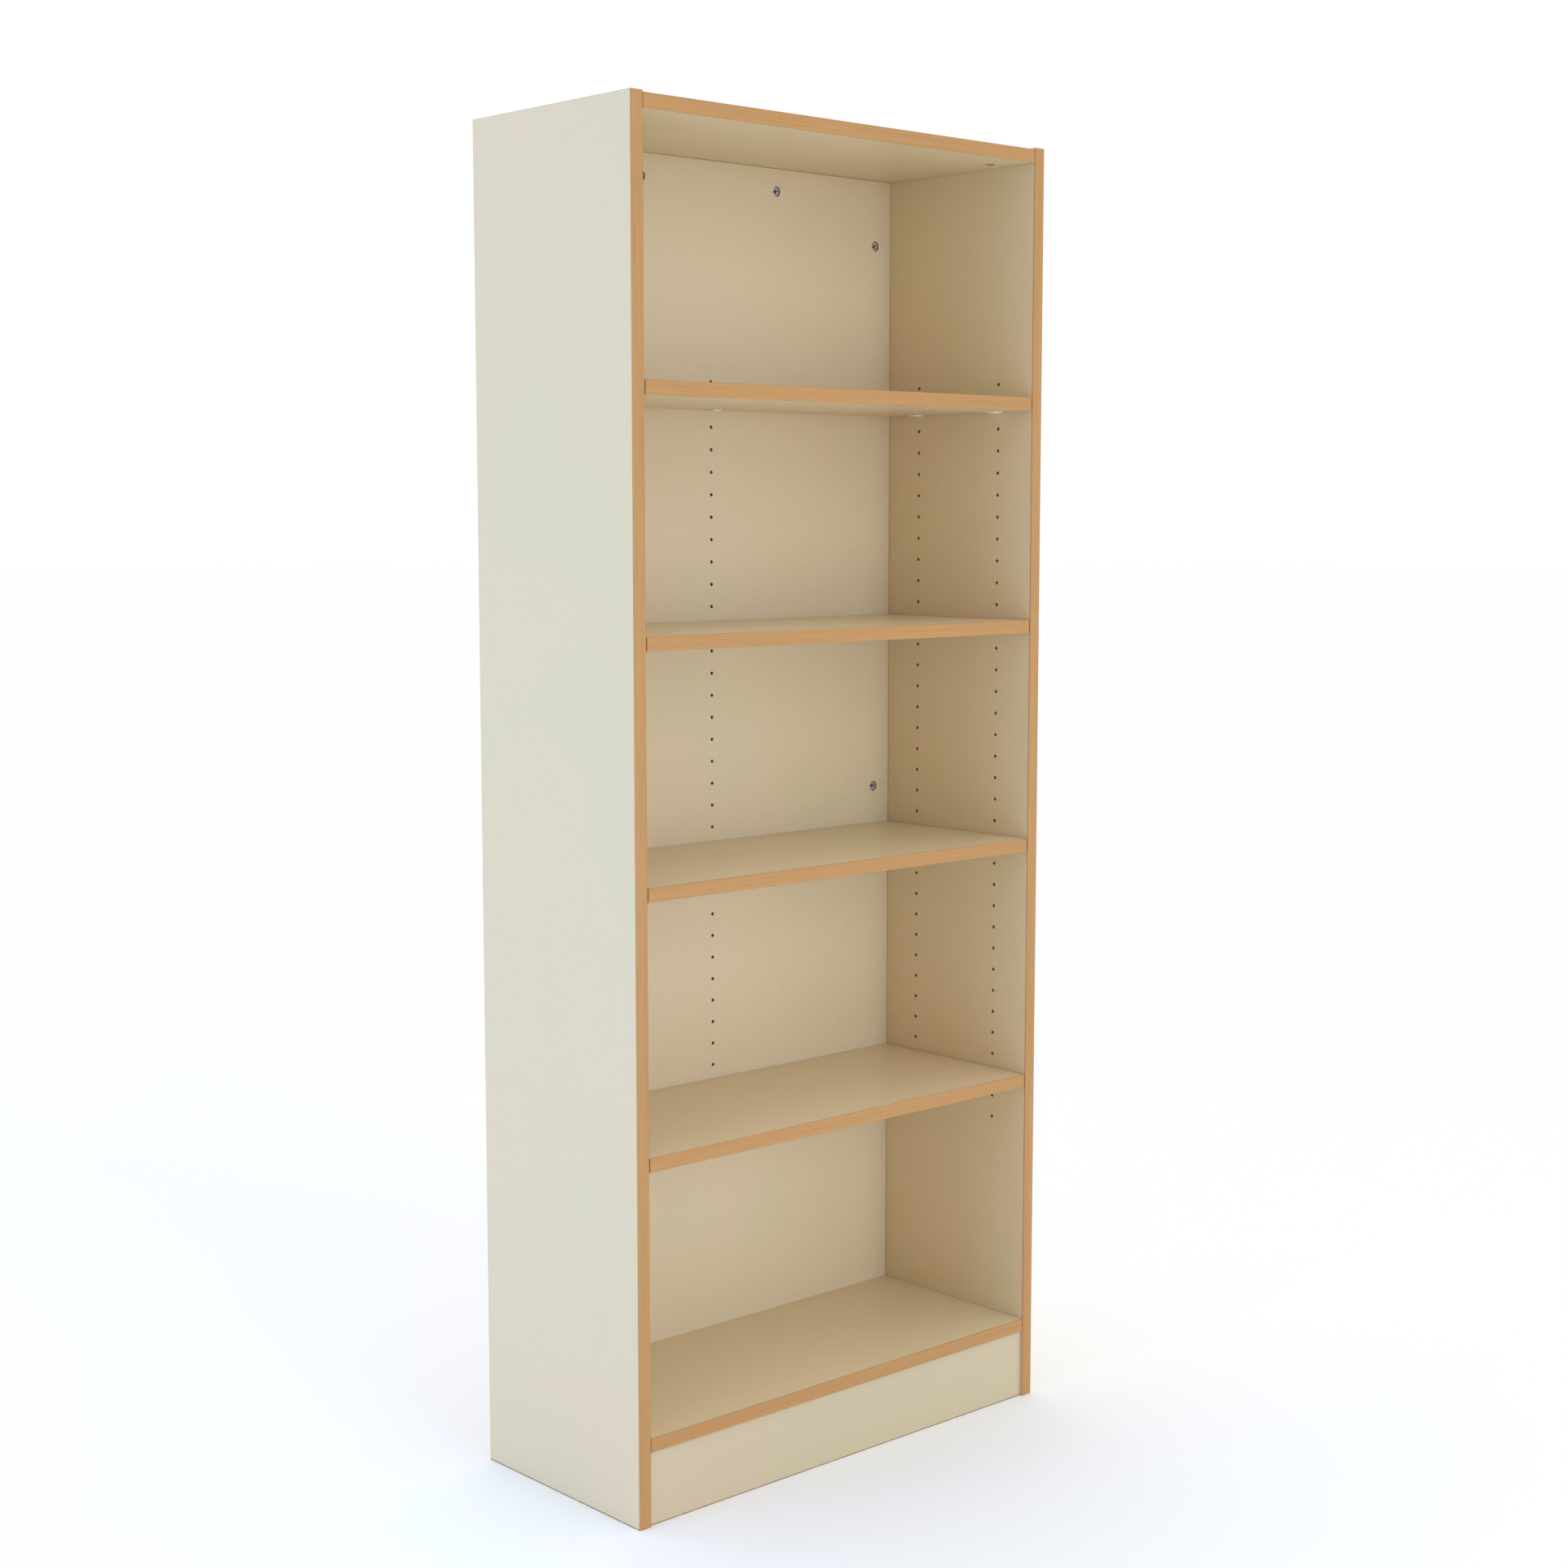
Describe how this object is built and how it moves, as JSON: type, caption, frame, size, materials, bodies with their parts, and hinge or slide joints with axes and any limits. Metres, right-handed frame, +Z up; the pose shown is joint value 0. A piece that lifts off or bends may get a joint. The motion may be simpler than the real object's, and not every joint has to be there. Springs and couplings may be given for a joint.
{
  "type": "bookcase with adjustable shelves",
  "caption": "Tall open bookcase: side panels with rows of support holes, fixed top, bottom, plinth and inset back, and loose shelves that lift off plug-in supports.",
  "frame": {"origin": "on the floor, in the middle of the footprint", "axes": "+Z up, -Y towards the front, +X to the right of someone facing the front"},
  "size_m": [0.756, 0.333, 1.836],
  "materials": {
    "cream_laminate": "satin cream laminate on chipboard",
    "beech_lipping": "satin lacquered beech, grain along the edge",
    "cream_edging": "satin cream edging",
    "base_strip": "matt brown",
    "support_plastic": "moulded off-white plastic, slightly glossy",
    "zinc_cam": "die-cast zinc, satin",
    "steel_fitting": "zinc-plated steel",
    "dowel_beech": "raw beech",
    "beech_block": "raw beech"
  },
  "bodies": {
    "carcass": {"left_side_panel": "cream_laminate", "left_side_front_lipping": "beech_lipping", "left_side_top_strip": "cream_edging", "left_side_rear_strip": "cream_edging", "left_side_base_strip": "base_strip", "left_corner_block": "beech_block", "right_side_panel": "cream_laminate", "right_side_front_lipping": "beech_lipping", "right_side_top_strip": "cream_edging", "right_side_rear_strip": "cream_edging", "right_side_base_strip": "base_strip", "right_corner_block": "beech_block", "top_panel": "cream_laminate", "top_panel_front_lipping": "beech_lipping", "bottom_panel": "cream_laminate", "bottom_panel_front_lipping": "beech_lipping", "plinth": "cream_laminate", "plinth_base_strip": "base_strip", "back_panel": "cream_laminate", "top_panel_cams": "zinc_cam", "bottom_panel_cams": "zinc_cam", "back_panel_cams": "zinc_cam", "cam_bolts": "steel_fitting", "corner_block_screws": "steel_fitting", "dowels": "dowel_beech", "shelf_1_support_front_left": "support_plastic", "shelf_1_support_front_right": "support_plastic", "shelf_1_support_rear_left": "support_plastic", "shelf_1_support_rear_right": "support_plastic", "shelf_1_support_rear_centre": "support_plastic", "shelf_2_support_front_left": "support_plastic", "shelf_2_support_front_right": "support_plastic", "shelf_2_support_rear_left": "support_plastic", "shelf_2_support_rear_right": "support_plastic", "shelf_2_support_rear_centre": "support_plastic", "shelf_3_support_front_left": "support_plastic", "shelf_3_support_front_right": "support_plastic", "shelf_3_support_rear_left": "support_plastic", "shelf_3_support_rear_right": "support_plastic", "shelf_3_support_rear_centre": "support_plastic", "shelf_4_support_front_left": "support_plastic", "shelf_4_support_front_right": "support_plastic", "shelf_4_support_rear_left": "support_plastic", "shelf_4_support_rear_right": "support_plastic", "shelf_4_support_rear_centre": "support_plastic"},
    "shelf_1": {"shelf_1": "cream_laminate", "shelf_1_front_lipping": "beech_lipping"},
    "shelf_2": {"shelf_2": "cream_laminate", "shelf_2_front_lipping": "beech_lipping"},
    "shelf_3": {"shelf_3": "cream_laminate", "shelf_3_front_lipping": "beech_lipping"},
    "shelf_4": {"shelf_4": "cream_laminate", "shelf_4_front_lipping": "beech_lipping"}
  },
  "joints": [
    {"name": "shelf_1_lift", "type": "slide", "parent": "carcass", "child": "shelf_1", "axis": [0, 0, 1], "range_m": [0, 0.326]},
    {"name": "shelf_2_lift", "type": "slide", "parent": "carcass", "child": "shelf_2", "axis": [0, 0, 1], "range_m": [0, 0.295]},
    {"name": "shelf_3_lift", "type": "slide", "parent": "carcass", "child": "shelf_3", "axis": [0, 0, 1], "range_m": [0, 0.295]},
    {"name": "shelf_4_lift", "type": "slide", "parent": "carcass", "child": "shelf_4", "axis": [0, 0, 1], "range_m": [0, 0.327]}
  ]
}
